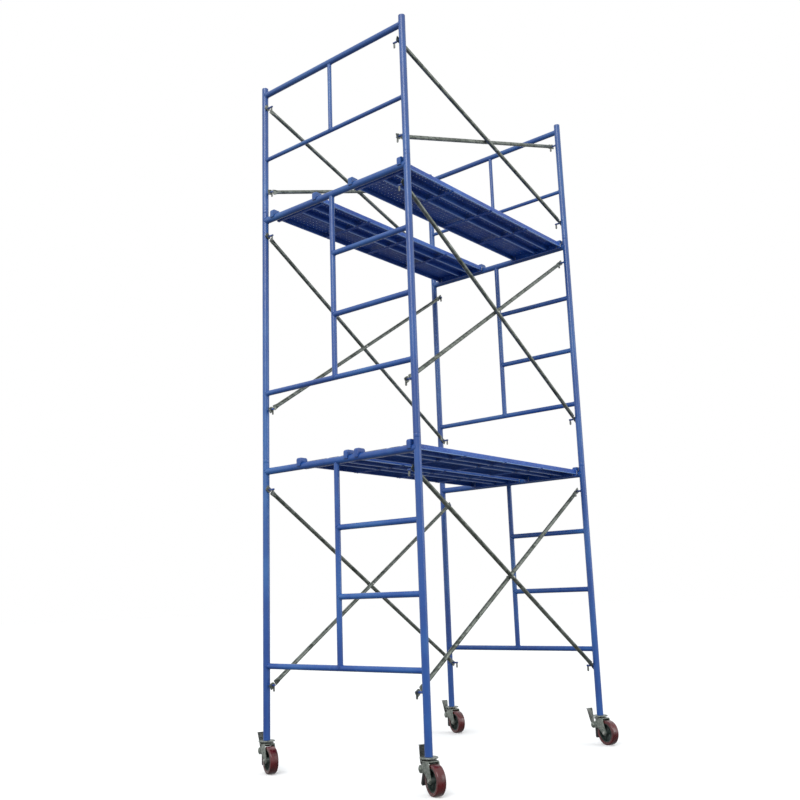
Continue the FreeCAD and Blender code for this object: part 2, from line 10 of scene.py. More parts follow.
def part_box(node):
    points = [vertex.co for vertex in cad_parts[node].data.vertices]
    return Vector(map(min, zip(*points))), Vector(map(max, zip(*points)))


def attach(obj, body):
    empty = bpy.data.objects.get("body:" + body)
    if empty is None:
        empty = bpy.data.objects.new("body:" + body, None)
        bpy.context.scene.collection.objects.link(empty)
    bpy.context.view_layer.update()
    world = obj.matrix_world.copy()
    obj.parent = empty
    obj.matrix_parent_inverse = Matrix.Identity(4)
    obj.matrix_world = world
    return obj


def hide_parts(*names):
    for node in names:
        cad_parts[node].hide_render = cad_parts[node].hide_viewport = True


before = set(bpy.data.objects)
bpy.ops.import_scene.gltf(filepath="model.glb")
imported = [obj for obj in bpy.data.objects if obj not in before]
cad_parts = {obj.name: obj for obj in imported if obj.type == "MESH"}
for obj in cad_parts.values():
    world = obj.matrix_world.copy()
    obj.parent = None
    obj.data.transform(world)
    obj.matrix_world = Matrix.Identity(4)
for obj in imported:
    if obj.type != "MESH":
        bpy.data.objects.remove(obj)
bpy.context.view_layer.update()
MM = 0.001
X, Y, Z = Vector((1, 0, 0)), Vector((0, 1, 0)), Vector((0, 0, 1))
random.seed(7)


# ---------------------------------------------------------------- places, read from the frame

def middle(node):
    low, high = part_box(node)
    return (low + high) / 2


LEG_R = (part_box("frame_lower_a")[1].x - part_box("frame_lower_a")[0].x) / 2
ENDS = {"a": middle("frame_lower_a").x, "b": middle("frame_lower_b").x}
SIDES = {"right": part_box("frame_lower_a")[0].y + LEG_R, "left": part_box("frame_lower_a")[1].y - LEG_R}
LIFTS = {lift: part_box(f"frame_{lift}_a") for lift in ("lower", "upper", "guard")}
LEG_FOOT = {lift: box[0].z for lift, box in LIFTS.items()}
LEG_TOP = {lift: box[1].z for lift, box in LIFTS.items()}
BAY = ENDS["b"] - ENDS["a"]

# the CAD model's own dimensions that no box gives, in metres
HEADER_DROP = 54 * MM
RAIL_HEIGHT = 422 * MM
GUARD_RAIL_HEIGHT = 356 * MM
RUNG_R = 16.7 * MM
GUARD_TOP_R = 19.05 * MM
GUARD_RAIL_R = 13.45 * MM
TUBE_WALL = 2.3 * MM
STUDS = {"lower": (313 * MM, 1481 * MM), "upper": (313 * MM, 1481 * MM), "guard": (113 * MM, 733 * MM)}
STUD_R = 6.35 * MM
STUD_TIP = 72 * MM
LATCH_PIVOT = 64 * MM
BRACE_R = 12.7 * MM
BRACE_OFFSETS = {"falling": 27 * MM, "rising": 53.2 * MM}
BRACE_FLAT = (2.5 * MM, 17 * MM)          # half thickness and half width of a flattened end
BRACE_FLAT_LENGTH = 62 * MM
HEADINGS = {"a_right": 245, "a_left": 247, "b_right": 250, "b_left": 248}
TRAIL = 64 * MM
WHEEL_R = 76 * MM
PEDAL_REACH, PEDAL_HEIGHT = 39 * MM, 118 * MM
RELEASED_CORNER, RELEASE_ANGLE = "a_right", 20            # the one brake that rests released, in degrees
CASTER_TOP = LEG_FOOT["lower"]


# ---------------------------------------------------------------- mesh tools

ORIGIN = Vector((0, 0, 0))
WELD_SIDES = 7


class Shape:
    """Points and faces that are gathered into one mesh."""

    def __init__(self):
        self.points, self.faces = [], []

    def ring(self, points):
        first = len(self.points)
        self.points += [Vector(p) for p in points]
        return list(range(first, first + len(points)))

    def bridge(self, one, two):
        count = len(one)
        for i in range(count):
            j = (i + 1) % count
            self.faces.append((one[i], one[j], two[j], two[i]))

    def loft(self, rings, caps=False, loop=False):
        """Join rings of points in turn; caps closes both ends, loop joins the last to the first."""
        made = [self.ring(r) for r in rings]
        for one, two in zip(made, made[1:] + (made[:1] if loop else [])):
            self.bridge(one, two)
        if caps:
            self.faces.append(tuple(reversed(made[0])))
            self.faces.append(tuple(made[-1]))

    def lathe(self, profile, centre, axis, sides=40, loop=False, caps=False):
        """Turn (radius, height) pairs about an axis through centre."""
        across, up = basis(axis)
        rings = []
        for radius, height in profile:
            base = centre + axis * height
            rings.append([base + (across * math.cos(a) + up * math.sin(a)) * radius
                          for a in angles(sides)])
        self.loft(rings, caps=caps, loop=loop)

    def prism(self, outline, origin, right, up, depth):
        """Push a flat outline of (right, up) pairs by depth along right x up, both ways."""
        push = right.cross(up).normalized() * depth / 2
        flat = [origin + right * a + up * b for a, b in outline]
        self.loft([[p - push for p in flat], [p + push for p in flat]], caps=True)

    def bead(self, path, out, along, radius):
        """A weld bead round a closed path; out and along span its section at each point."""
        ripple, ripple_turn, scatter = 0.22, 2.1, 0.08
        rings = []
        for i, point in enumerate(path):
            size = radius * (1 + ripple * math.sin(i * ripple_turn) + random.uniform(-scatter, scatter))
            rings.append([point + (out[i] * math.cos(a) + along * math.sin(a)) * size
                          for a in angles(WELD_SIDES)])
        self.loft(rings, loop=True)

    def transform(self, matrix):
        self.points = [matrix @ point for point in self.points]


def angles(count, start=0.0):
    return [start + 2 * math.pi * i / count for i in range(count)]


def basis(axis):
    """Two unit vectors square to an axis, which turn right-handed about it."""
    across = X if abs(axis.x) < 0.9 else Y
    across = (across - axis * across.dot(axis)).normalized()
    return across, axis.cross(across).normalized()


def arc(centre, radius, start, end, steps):
    """Points on an arc, from one angle to another in degrees."""
    turns = [math.radians(start + (end - start) * i / steps) for i in range(steps + 1)]
    return [(centre[0] + radius * math.cos(a), centre[1] + radius * math.sin(a)) for a in turns]


def piece(name, shape, material, body, replaces=(), bevel=0.0, sharp=35):
    """Make an object of a shape, give it its material, and hang it on its CAD body."""
    mesh = bpy.data.meshes.new(name)
    mesh.from_pydata([tuple(p) for p in shape.points], [], shape.faces)
    mesh.validate()
    obj = bpy.data.objects.new(name, mesh)
    bpy.context.scene.collection.objects.link(obj)
    finish_mesh(obj, bevel, sharp)
    mesh.materials.append(material)
    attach(obj, body)
    if replaces:
        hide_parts(*replaces)
    return obj


def finish_mesh(obj, bevel, sharp):
    """Point all faces outward, round the edges if asked, and shade smooth up to an angle."""
    work = bmesh.new()
    work.from_mesh(obj.data)
    bmesh.ops.recalc_face_normals(work, faces=work.faces)
    if bevel:
        edges = [e for e in work.edges
                 if len(e.link_faces) == 2 and e.calc_face_angle(0) > math.radians(sharp)]
        bmesh.ops.bevel(work, geom=edges, offset=bevel, segments=2, profile=0.6,
                        affect="EDGES", clamp_overlap=True)
    work.to_mesh(obj.data)
    work.free()
    obj.data.shade_smooth()
    obj.data.set_sharp_from_angle(angle=math.radians(sharp))


# ---------------------------------------------------------------- materials

def linear(red, green, blue):
    """A colour given in 0 to 255 display steps, as the shader wants it."""
    return tuple((c / 255) ** 2.2 for c in (red, green, blue)) + (1.0,)


MIX_INPUTS, MIX_OUTPUT = (0, 6, 7), 2     # a Mix node's factor and two colours, and its colour out
GREYING_LOW, GREYING_HIGH, GREYING_SHARE = 0.6, 4.3, 0.36          # paint is greyer towards the top, from one height to the other


class Nodes:
    """A material's node tree with short ways to add what the materials here need."""

    def __init__(self, name, roughness, metallic=0.0, **sockets):
        self.material = bpy.data.materials.new(name)
        self.material.use_nodes = True
        self.tree = self.material.node_tree
        self.shader = self.tree.nodes["Principled BSDF"]
        self.shader.inputs["Roughness"].default_value = roughness
        self.shader.inputs["Metallic"].default_value = metallic
        for socket, value in sockets.items():
            self.shader.inputs[socket.replace("_", " ")].default_value = value
        self.place = self.tree.nodes.new("ShaderNodeTexCoord").outputs["Object"]

    def link(self, source, target):
        self.tree.links.new(source, target)

    def add(self, kind, **values):
        node = self.tree.nodes.new(kind)
        for key, value in values.items():
            if key in node.inputs:
                node.inputs[key].default_value = value
            else:
                setattr(node, key, value)
        return node

    def stretched(self, scale):
        node = self.add("ShaderNodeMapping", Scale=scale)
        self.link(self.place, node.inputs["Vector"])
        return node.outputs["Vector"]

    def noise(self, scale, detail=4.0, rough=0.55, vector=None):
        node = self.add("ShaderNodeTexNoise", Scale=scale, Detail=detail, Roughness=rough)
        self.link(vector or self.place, node.inputs["Vector"])
        return node.outputs["Fac"]

    def cells(self, scale, vector):
        node = self.add("ShaderNodeTexVoronoi", Scale=scale)
        self.link(vector, node.inputs["Vector"])
        return node.outputs["Color"]

    def ramp(self, source, *stops):
        """Stops are (position, value or colour) pairs."""
        node = self.add("ShaderNodeValToRGB")
        elements = node.color_ramp.elements
        while len(elements) < len(stops):
            elements.new(0.5)
        for element, (position, value) in zip(elements, stops):
            element.position = position
            element.color = value if isinstance(value, tuple) else (value, value, value, 1)
        self.link(source, node.inputs["Fac"])
        return node.outputs["Color"]

    def mix(self, factor, one, two):
        """Each of the three is a node's output, or a plain number or colour."""
        node = self.add("ShaderNodeMix", data_type="RGBA")
        for source, index in zip((factor, one, two), MIX_INPUTS):
            if isinstance(source, (float, tuple)):
                node.inputs[index].default_value = source
            else:
                self.link(source, node.inputs[index])
        return node.outputs[MIX_OUTPUT]

    def finish(self, colour, rough=None, height=None, strength=0.3, distance=0.0005):
        self.link(colour, self.shader.inputs["Base Color"])
        if rough is not None:
            self.link(rough, self.shader.inputs["Roughness"])
        if height is not None:
            bump = self.add("ShaderNodeBump", Strength=strength, Distance=distance)
            self.link(height, bump.inputs["Height"])
            self.link(bump.outputs["Normal"], self.shader.inputs["Normal"])
        return self.material

    def height_fade(self, low, high):
        """0 at the height low and 1 at the height high, on the object."""
        parts = self.add("ShaderNodeSeparateXYZ")
        self.link(self.place, parts.inputs["Vector"])
        span = self.add("ShaderNodeMapRange", clamp=True, **{"From Min": low, "From Max": high})
        self.link(parts.outputs["Z"], span.inputs["Value"])
        return span.outputs["Result"]


def enamel(name, deep, mid, pale, chip_scale=38.0, chip_from=0.70):
    """Enamel over steel: soft patches, orange peel, chips to bare metal, and greyer higher up."""
    m = Nodes(name, 0.34, Coat_Weight=0.25, Coat_Roughness=0.18)
    patches = m.ramp(m.noise(2.3, 5.0), (0.32, deep), (0.50, mid), (0.72, pale))
    streaks = m.noise(9.0, 6.0, 0.6, m.stretched((4.0, 4.0, 0.35)))
    colour = m.mix(m.ramp(streaks, (0.50, 0.0), (0.75, 0.35)), patches, pale)
    scuffs = m.ramp(m.noise(chip_scale, 8.0, 0.72), (chip_from, 0.0), (chip_from + 0.03, 1.0))
    bare = m.ramp(m.noise(140.0, 3.0), (0.35, linear(70, 62, 58)), (0.65, linear(150, 150, 152)))
    colour = m.mix(scuffs, colour, bare)
    greyed_with_height = m.ramp(m.height_fade(GREYING_LOW, GREYING_HIGH), (0.0, 0.0), (1.0, GREYING_SHARE))
    colour = m.mix(greyed_with_height, colour, linear(70, 88, 118))
    rough = m.ramp(m.noise(16.0, 6.0), (0.3, 0.26), (0.7, 0.48))
    peel = m.mix(0.25, m.noise(420.0, 2.0), m.noise(60.0, 4.0))
    height = m.mix(scuffs, peel, (0.0, 0.0, 0.0, 1.0))
    return m.finish(colour, rough, height, 0.22, 0.0006)


def galvanised(name, dark, light, spangle=70.0, rough=(0.32, 0.55), metallic=0.75, streak=(1, 1, 1)):
    """Zinc on steel: spangle crystals, drawn streaks and dull white bloom."""
    m = Nodes(name, 0.45, metallic)
    place = m.stretched(streak)
    crystals = m.ramp(m.cells(spangle, place), (0.1, dark), (0.9, light))
    bloom = m.ramp(m.noise(11.0, 7.0, 0.65), (0.48, 0.0), (0.72, 0.55))
    colour = m.mix(bloom, crystals, linear(150, 154, 148))
    stains = m.ramp(m.noise(26.0, 6.0, 0.7), (0.60, 0.0), (0.74, 0.6))
    colour = m.mix(stains, colour, linear(62, 58, 46))
    roughness = m.ramp(m.noise(34.0, 5.0), (0.3, rough[0]), (0.7, rough[1]))
    return m.finish(colour, roughness, m.noise(190.0, 5.0), 0.25, 0.0005)


def plank_paint():
    """The planks' enamel: patchy and dusty, with pale speckle and rub marks along the plank."""
    m = Nodes("plank_enamel", 0.42, Coat_Weight=0.15, Coat_Roughness=0.25)
    patches = m.ramp(m.noise(3.1, 6.0), (0.30, linear(10, 54, 136)), (0.52, linear(20, 74, 162)),
                     (0.75, linear(44, 98, 180)))
    speckle = m.ramp(m.noise(120.0, 5.0, 0.7), (0.50, 0.0), (0.66, 0.45))
    colour = m.mix(speckle, patches, linear(92, 136, 214))
    rubs_and_highlights = m.ramp(m.noise(15.0, 9.0, 0.75, m.stretched((0.25, 3.0, 3.0))), (0.66, 0.0), (0.72, 0.8))
    colour = m.mix(rubs_and_highlights, colour, linear(150, 168, 205))
    rough = m.ramp(m.noise(22.0, 6.0), (0.3, 0.34), (0.7, 0.58))
    return m.finish(colour, rough, m.mix(0.4, m.noise(300.0, 3.0), m.noise(40.0, 5.0)), 0.3, 0.0007)


def polyurethane():
    """The tread: glossy dark red with patches of pale dust."""
    m = Nodes("tread_polyurethane", 0.28, Coat_Weight=0.5, Coat_Roughness=0.12)
    body = m.ramp(m.noise(14.0, 5.0), (0.3, linear(58, 6, 14)), (0.7, linear(94, 14, 22)))
    dust = m.ramp(m.noise(46.0, 8.0, 0.7), (0.54, 0.0), (0.74, 0.40))
    colour = m.mix(dust, body, linear(132, 76, 78))
    rough = m.ramp(m.noise(60.0, 6.0), (0.35, 0.18), (0.65, 0.42))
    return m.finish(colour, rough, m.noise(240.0, 4.0), 0.2, 0.0004)


def moulded(name, dark, light):
    """Dark moulded plastic with a fine grain and pale scuffs."""
    m = Nodes(name, 0.5)
    body = m.ramp(m.noise(30.0, 6.0), (0.3, dark), (0.7, light))
    scuffs = m.ramp(m.noise(75.0, 8.0, 0.75), (0.64, 0.0), (0.70, 0.6))
    colour = m.mix(scuffs, body, linear(96, 104, 98))
    return m.finish(colour, m.ramp(m.noise(90.0), (0.3, 0.38), (0.7, 0.62)),
                    m.noise(500.0, 3.0), 0.3, 0.0003)


def pale_floor():
    """A pale matt floor that almost merges with the background."""
    m = Nodes("studio_floor", 0.85)
    m.shader.inputs["Emission Color"].default_value = (1, 1, 1, 1)
    m.shader.inputs["Emission Strength"].default_value = 0.14
    grain = m.ramp(m.noise(3.0, 3.0), (0.3, linear(242, 242, 242)), (0.7, linear(246, 246, 246)))
    return m.finish(grain)


FRAME_PAINT = enamel("frame_enamel", linear(16, 62, 136), linear(24, 76, 150), linear(50, 102, 166))
STUD_PAINT = enamel("stud_enamel", linear(24, 54, 124), linear(34, 66, 138), linear(66, 92, 150),
                    chip_scale=90.0, chip_from=0.58)
PLANK_PAINT = plank_paint()
BRACE_ZINC = galvanised("brace_galvanising", linear(74, 80, 74), linear(128, 134, 126), 60.0,
                        streak=(0.5, 1, 1))
LATCH_ZINC = galvanised("latch_zinc", linear(84, 88, 84), linear(140, 142, 138), 160.0)
CASTER_ZINC = galvanised("caster_zinc", linear(84, 92, 86), linear(142, 148, 140), 130.0,
                         rough=(0.30, 0.50), metallic=0.6)
BOLT_ZINC = galvanised("bolt_zinc", linear(130, 132, 126), linear(182, 184, 178), 220.0,
                       rough=(0.25, 0.42), metallic=0.8)
PEDAL_ZINC = galvanised("pedal_zinc", linear(46, 50, 48), linear(98, 100, 96), 140.0,
                        rough=(0.34, 0.55), metallic=0.6)
HUB_PLASTIC = moulded("hub_moulding", linear(30, 40, 37), linear(52, 64, 60))
SHOE_PLASTIC = moulded("shoe_moulding", linear(22, 22, 24), linear(40, 38, 40))
# pale blue enamel with a few chips for the rib and lip bottoms: a painted highlight
HIGHLIGHT_PAINT = enamel("highlight_enamel", linear(112, 160, 242), linear(138, 180, 250),
                      linear(170, 200, 252), chip_scale=60.0, chip_from=0.78)
TREAD = polyurethane()
WELD = galvanised("weld_metal", linear(120, 128, 140), linear(186, 194, 210), 300.0,
                  rough=(0.3, 0.5), metallic=0.3)


# ---------------------------------------------------------------- welded frames

def leg(shape, x, y, foot, top):
    """An upright tube with a wall, and its sharp end edges taken off."""
    inner, trim = LEG_R - TUBE_WALL, 0.6 * MM
    length = top - foot
    profile = [(inner, 0), (LEG_R - trim, 0), (LEG_R, trim), (LEG_R, length - trim),
               (LEG_R - trim, length), (inner, length)]
    shape.lathe(profile, Vector((x, y, foot)), Z, loop=True)


def coped_ring(point, outward, size, inward, host):
    """A ring round a tube's end, shaped to the surface of the host tube it meets."""
    ring = []
    for direction, a in zip(outward, angles(len(outward))):
        reach = math.sqrt(max(host ** 2 - (size * math.cos(a)) ** 2, 0))
        ring.append(point + direction * size + inward * reach)
    return ring


def branch(tube, welds, start, end, radius, host_axis, hosts):
    """A tube between two hosts, coped to both, with a weld bead round each end."""
    sides, bead = 40, 2.6 * MM
    run = (end - start).normalized()
    side = run.cross(host_axis)
    outward = [side * math.cos(a) + host_axis * math.sin(a) for a in angles(sides)]
    rings = []
    for point, host, inward in ((start, hosts[0], run), (end, hosts[1], -run)):
        rings.append(coped_ring(point, outward, radius, inward, host))
        welds.bead(coped_ring(point, outward, radius + bead / 4, inward, host), outward, run, bead)
    tube.loft(rings)


def welded_frame(lift, end):
    """Legs, header, rail and stile, and the two rungs that a guard frame lacks."""
    x, foot, top = ENDS[end], LEG_FOOT[lift], LEG_TOP[lift]
    right, left = SIDES["right"], SIDES["left"]
    guard = lift == "guard"
    header, rail = top - HEADER_DROP, foot + (GUARD_RAIL_HEIGHT if guard else RAIL_HEIGHT)
    header_r, rail_r = (GUARD_TOP_R, GUARD_RAIL_R) if guard else (LEG_R, RUNG_R)
    tubes, welds = Shape(), Shape()
    for y in (right, left):
        leg(tubes, x, y, foot, top)
    for height, radius in ((header, header_r), (rail, rail_r)):
        branch(tubes, welds, Vector((x, right, height)), Vector((x, left, height)), radius, Z,
               (LEG_R, LEG_R))
    branch(tubes, welds, Vector((x, 0, rail)), Vector((x, 0, header)), rail_r, Y, (rail_r, header_r))
    for share in () if guard else (1 / 3, 2 / 3):
        height = rail + (header - rail) * share
        branch(tubes, welds, Vector((x, right, height)), Vector((x, 0, height)), RUNG_R, Z,
               (LEG_R, RUNG_R))
    piece(f"tubes_{lift}_{end}", tubes, FRAME_PAINT, "tower", [f"frame_{lift}_{end}"])
    piece(f"welds_{lift}_{end}", welds, FRAME_PAINT, "tower", sharp=80)


for end in ENDS:
    for lift in LIFTS:
        welded_frame(lift, end)


# ---------------------------------------------------------------- braces

BRACE_SIDES = 32
BRACE_PRESS = 34 * MM                     # length over which a brace tube goes flat


def flat_section(centre, side, up, half, power):
    """A ring between a circle and a flat strap: half sizes and a corner power."""
    ring = []
    for a in angles(BRACE_SIDES):
        c, s = math.cos(a), math.sin(a)
        ring.append(centre + side * half[0] * math.copysign(abs(c) ** (2 / power), c)
                    + up * half[1] * math.copysign(abs(s) ** (2 / power), s))
    return ring


def eye_plate(shape, hole, run, up, side):
    """The flattened end round its stud hole, as far back as the strap it grows from."""
    thin, wide = BRACE_FLAT
    bore, back = 6.8 * MM, 24 * MM
    outer, inner = [], []
    for a in angles(40):
        c, s = math.cos(a), math.sin(a)
        reach = wide
        if c < 0:
            reach = min(wide / max(abs(s), 1e-6), back / max(abs(c), 1e-6))
        outer.append(run * c * reach + up * s * reach)
        inner.append(run * c * bore + up * s * bore)
    trim = 0.7 * MM
    trimmed = [offset * (1 - trim / wide) for offset in outer]
    levels = ((inner, -thin), (trimmed, -thin), (outer, trim - thin),
              (outer, thin - trim), (trimmed, thin), (inner, thin))
    shape.loft([[hole + offset + side * level for offset in offsets] for offsets, level in levels],
               loop=True)


def brace(low, high):
    """A tube from stud to stud with both ends pressed flat."""
    shape = Shape()
    run = (high - low).normalized()
    up = (Z - run * Z.dot(run)).normalized()
    side = run.cross(up)
    press_start, steps = BRACE_FLAT_LENGTH - BRACE_PRESS, 7
    stations = [press_start - 6 * MM] + [press_start + BRACE_PRESS * i / steps for i in range(steps + 1)]
    rings = []
    for at in stations:
        share = min(max((at - press_start) / BRACE_PRESS, 0), 1)
        share = share * share * (3 - 2 * share)
        half = [BRACE_FLAT[i] + (BRACE_R - BRACE_FLAT[i]) * share for i in (0, 1)]
        rings.append(flat_section(low + run * at, side, up, half, 6 - 4 * share))
    far = [[low + high - p for p in ring] for ring in reversed(rings)]
    half_turn = BRACE_SIDES // 2
    rings += [ring[half_turn:] + ring[:half_turn] for ring in far]
    shape.loft(rings, caps=True)
    eye_plate(shape, low, run, up, side)
    eye_plate(shape, high, -run, up, side)
    return shape


def inboard(side, distance):
    """The Y of a plane at a distance inward from one side's legs."""
    return SIDES[side] + math.copysign(distance, -SIDES[side])


for lift, (low_stud, high_stud) in STUDS.items():
    heights = {"low": LEG_FOOT[lift] + low_stud, "high": LEG_FOOT[lift] + high_stud}
    for side in SIDES:
        for way, offset in BRACE_OFFSETS.items():
            y = inboard(side, offset)
            at_a, at_b = ("high", "low") if way == "falling" else ("low", "high")
            shape = brace(Vector((ENDS["a"], y, heights[at_a])), Vector((ENDS["b"], y, heights[at_b])))
            name = f"brace_{lift}_{side}_{way}"
            piece(f"tube_{name}", shape, BRACE_ZINC, "tower", [name])


# ---------------------------------------------------------------- studs, latches, rivets, pins

SLOT_BACK = 7 * MM                        # from the latch pivot back to the end of a stud's slot


def studs():
    """All studs: a bar with a forked tip and a latch pin, and a weld bead at its root."""
    bars, welds = Shape(), Shape()
    for lift, levels in STUDS.items():
        for level in levels:
            for end_x in ENDS.values():
                for y in SIDES.values():
                    root = Vector((end_x, y, LEG_FOOT[lift] + level))
                    stud(bars, welds, root, Y if y < 0 else -Y)
    piece("stud_bars", bars, STUD_PAINT, "tower", ["brace_studs"])
    piece("stud_welds", welds, FRAME_PAINT, "tower", sharp=80)


def stud(bars, welds, root, run):
    """One stud on a leg whose axis passes through root."""
    sides = 24
    slot_start = LATCH_PIVOT - SLOT_BACK
    bars.lathe([(STUD_R, LEG_R - 1 * MM), (STUD_R, slot_start)], root, run, sides, caps=True)
    for sign in (-1, 1):
        stud_cheek(bars, root + run * slot_start, run, sign)
    pin_radius, pin_reach = 1.9 * MM, 5.5 * MM
    bars.lathe([(pin_radius, -pin_reach), (pin_radius, pin_reach)],
               root + run * LATCH_PIVOT, X, 14, caps=True)
    out = [X * math.cos(a) + Z * math.sin(a) for a in angles(sides)]
    path = [root + run * (LEG_R + 0.4 * MM) + direction * (STUD_R + 0.6 * MM) for direction in out]
    welds.bead(path, out, run, 2.0 * MM)


def stud_cheek(shape, start, run, sign):
    """One half of a stud's forked tip: a round bar's side beyond the latch slot."""
    gap, length = 1.9 * MM, STUD_TIP - LATCH_PIVOT + SLOT_BACK
    chamfer, chamfer_share = 1.2 * MM, 0.84
    limit = math.acos(gap / STUD_R)
    section = [(STUD_R * math.cos(a), STUD_R * math.sin(a))
               for a in [limit * (i / 5 - 1) for i in range(11)]]
    rings = []
    for at, shrink in ((-0.2 * MM, 1), (length - chamfer, 1), (length, chamfer_share)):
        rings.append([start + run * at + X * sign * (gap + (c - gap) * shrink) + Z * s * shrink
                      for c, s in section])
    shape.loft(rings, caps=True)


def latches(lift, side, level, z):
    """The flat drop latches on one pin line, one at each end of the bay."""
    shape = Shape()
    half, drop, thick, foot_share = 6 * MM, 30 * MM, 3 * MM, 1.15
    outline = arc((0, 0), half, 0, 180, 12)
    outline += arc((0, -drop), half * foot_share, 180, 360, 14)
    for end_x in ENDS.values():
        shape.prism(outline, Vector((end_x, inboard(side, LATCH_PIVOT), z)), Y, Z, thick)
    name = f"latches_{lift}_{side}_{level}"
    piece(f"drop_{name}", shape, LATCH_ZINC, name, [name], bevel=0.7 * MM)


def rivets():
    """A domed rivet through both tubes where the braces of a pair cross."""
    shape = Shape()
    shank, clearance = 4.4 * MM, 0.3 * MM
    dome = [(9.5 * MM, 0), (9.3 * MM, 0.8 * MM), (7.5 * MM, 2.4 * MM), (4 * MM, 3.4 * MM),
            (0.01 * MM, 3.7 * MM)]
    for lift, (low_stud, high_stud) in STUDS.items():
        z = LEG_FOOT[lift] + (low_stud + high_stud) / 2
        for side, y in SIDES.items():
            inward = Y if y < 0 else -Y
            near = Vector((0, inboard(side, BRACE_OFFSETS["falling"] - BRACE_R - clearance), z))
            far = Vector((0, inboard(side, BRACE_OFFSETS["rising"] + BRACE_R + clearance), z))
            shape.lathe([(shank, 0), (shank, (far - near).length)], near, inward, 20)
            shape.lathe(dome, near, -inward, 24)
            shape.lathe(dome, far, inward, 24)
    piece("brace_rivet_heads", shape, BOLT_ZINC, "tower", ["brace_rivets"])


def coupling_collars():
    """Coupling pins between stacked legs, each with a collar that fills the gap to the seams."""
    shape = Shape()
    bore, seam, insert, taper = 18.3 * MM, 0.5 * MM, 30 * MM, 2 * MM
    radius = LEG_R - seam
    for end_x in ENDS.values():
        for y in SIDES.values():
            for below, above in (("lower", "upper"), ("upper", "guard")):
                low, gap = LEG_TOP[below], LEG_FOOT[above] - LEG_TOP[below]
                profile = [(bore, -insert), (bore, seam), (radius, seam), (LEG_R, taper),
                           (LEG_R, gap - taper), (radius, gap - seam), (bore, gap - seam),
                           (bore, gap + insert)]
                shape.lathe(profile, Vector((end_x, y, low)), Z, caps=True)
    piece("coupling_collars", shape, FRAME_PAINT, "tower", ["coupling_pins"])


studs()
for lift, levels in STUDS.items():
    for side in SIDES:
        for level, height in zip(("low", "high"), levels):
            latches(lift, side, level, LEG_FOOT[lift] + height)
rivets()
coupling_collars()


# ---------------------------------------------------------------- planks

PLANK_HALF_WIDTH, PLANK_HALF_LENGTH = 207 * MM, 882.5 * MM
DECK_TOP, EDGE_BOTTOM, END_BOTTOM, SHEET = 30 * MM, 0, -15 * MM, 1.6 * MM
RIBS, RIB_HALF, RIB_BOTTOM = (-95 * MM, 3 * MM), 10 * MM, -3 * MM
STIFFENER_SPACING, STIFFENER_HALF = 428 * MM, 13 * MM
STIFFENER_BOTTOM, STIFFENER_TOP = -5 * MM, 1 * MM
LIP = 13 * MM
HOOK_OFFSET, HOOK_WIDTH = 195 * MM, 30 * MM
PERFORATION = 30 * MM                     # pitch of the dimples


def fold(shape, line, thickness, x_from, x_to):
    """A folded strip along X: a (y, z) centre line, given a thickness."""
    count = len(line)
    left, right = [], []
    for i, (y, z) in enumerate(line):
        before, after = line[max(i - 1, 0)], line[min(i + 1, count - 1)]
        along = Vector((after[0] - before[0], after[1] - before[1])).normalized()
        normal = Vector((-along.y, along.x)) * thickness / 2
        left.append((y + normal.x, z + normal.y))
        right.append((y - normal.x, z - normal.y))
    outline = left + right[::-1]
    shape.loft([[Vector((x, y, z)) for y, z in outline] for x in (x_from, x_to)], caps=True)


def side_line(sign):
    """Edge fold: over the top, down the web and into a rolled lip."""
    half, mid = PLANK_HALF_WIDTH - SHEET / 2, DECK_TOP - SHEET / 2
    overlap, top_bend, low_bend, curl = 12 * MM, 3 * MM, 6 * MM, 2.2 * MM
    low = EDGE_BOTTOM + SHEET / 2
    line = [(half - overlap, mid)] + arc((half - top_bend, mid - top_bend), top_bend, 90, 0, 5)
    line += arc((half - low_bend, low + low_bend), low_bend, 0, -90, 6)
    line += arc((half - LIP + curl, low + curl), curl, -90, -230, 5)
    return [(sign * y, z) for y, z in line]


def rib_line(centre):
    """Pressed rib: down one side, round the bottom and back up."""
    mid, wall, bottom = DECK_TOP - SHEET / 2, RIB_HALF - SHEET / 2, RIB_BOTTOM + SHEET / 2
    overlap, shoulder, corner = 3 * MM, 3 * MM, 5 * MM
    half = [(wall + shoulder + overlap, mid)]
    half += arc((wall + shoulder, mid - shoulder), shoulder, 90, 180, 4)
    half += arc((wall - corner, bottom + corner), corner, 0, -90, 5)
    line = [(-y, z) for y, z in half] + half[::-1]
    return [(centre + y, z) for y, z in line]


def highlight_strip(shape, centre, half, bottom):
    """A pale skin on the bottom bend of a rib or lip between stiffeners: a painted highlight where the
    rounded bottoms catch the light.
    """
    skin, bend = 0.25 * MM, 3.5 * MM
    low = bottom - skin
    under = [(half, bottom + bend)] + arc((half - bend, low + bend), bend, 0, -90, 5)
    line = [(-y, z) for y, z in under] + under[::-1]
    line = [(centre + y, z) for y, z in line]
    end = PLANK_HALF_LENGTH - 0.5 * MM
    stops = [-end] + [step * STIFFENER_SPACING + side for step in (-1, 0, 1)
                      for side in (-STIFFENER_HALF, STIFFENER_HALF)] + [end]
    for x_from, x_to in zip(stops[::2], stops[1::2]):
        fold(shape, line, skin, x_from, x_to)


def cell_edge(turns, half_x, half_y):
    """The rim of a rectangular cell, as one point for each turn round its middle."""
    edge = []
    for a in turns:
        c, s = math.cos(a), math.sin(a)
        reach = min(half_x / max(abs(c), 1e-9), half_y / max(abs(s), 1e-9))
        corner = abs(abs(c) - abs(s)) < 1e-6
        edge.append((math.copysign(half_x, c), math.copysign(half_y, s)) if corner
                    else (c * reach, s * reach))
    return edge


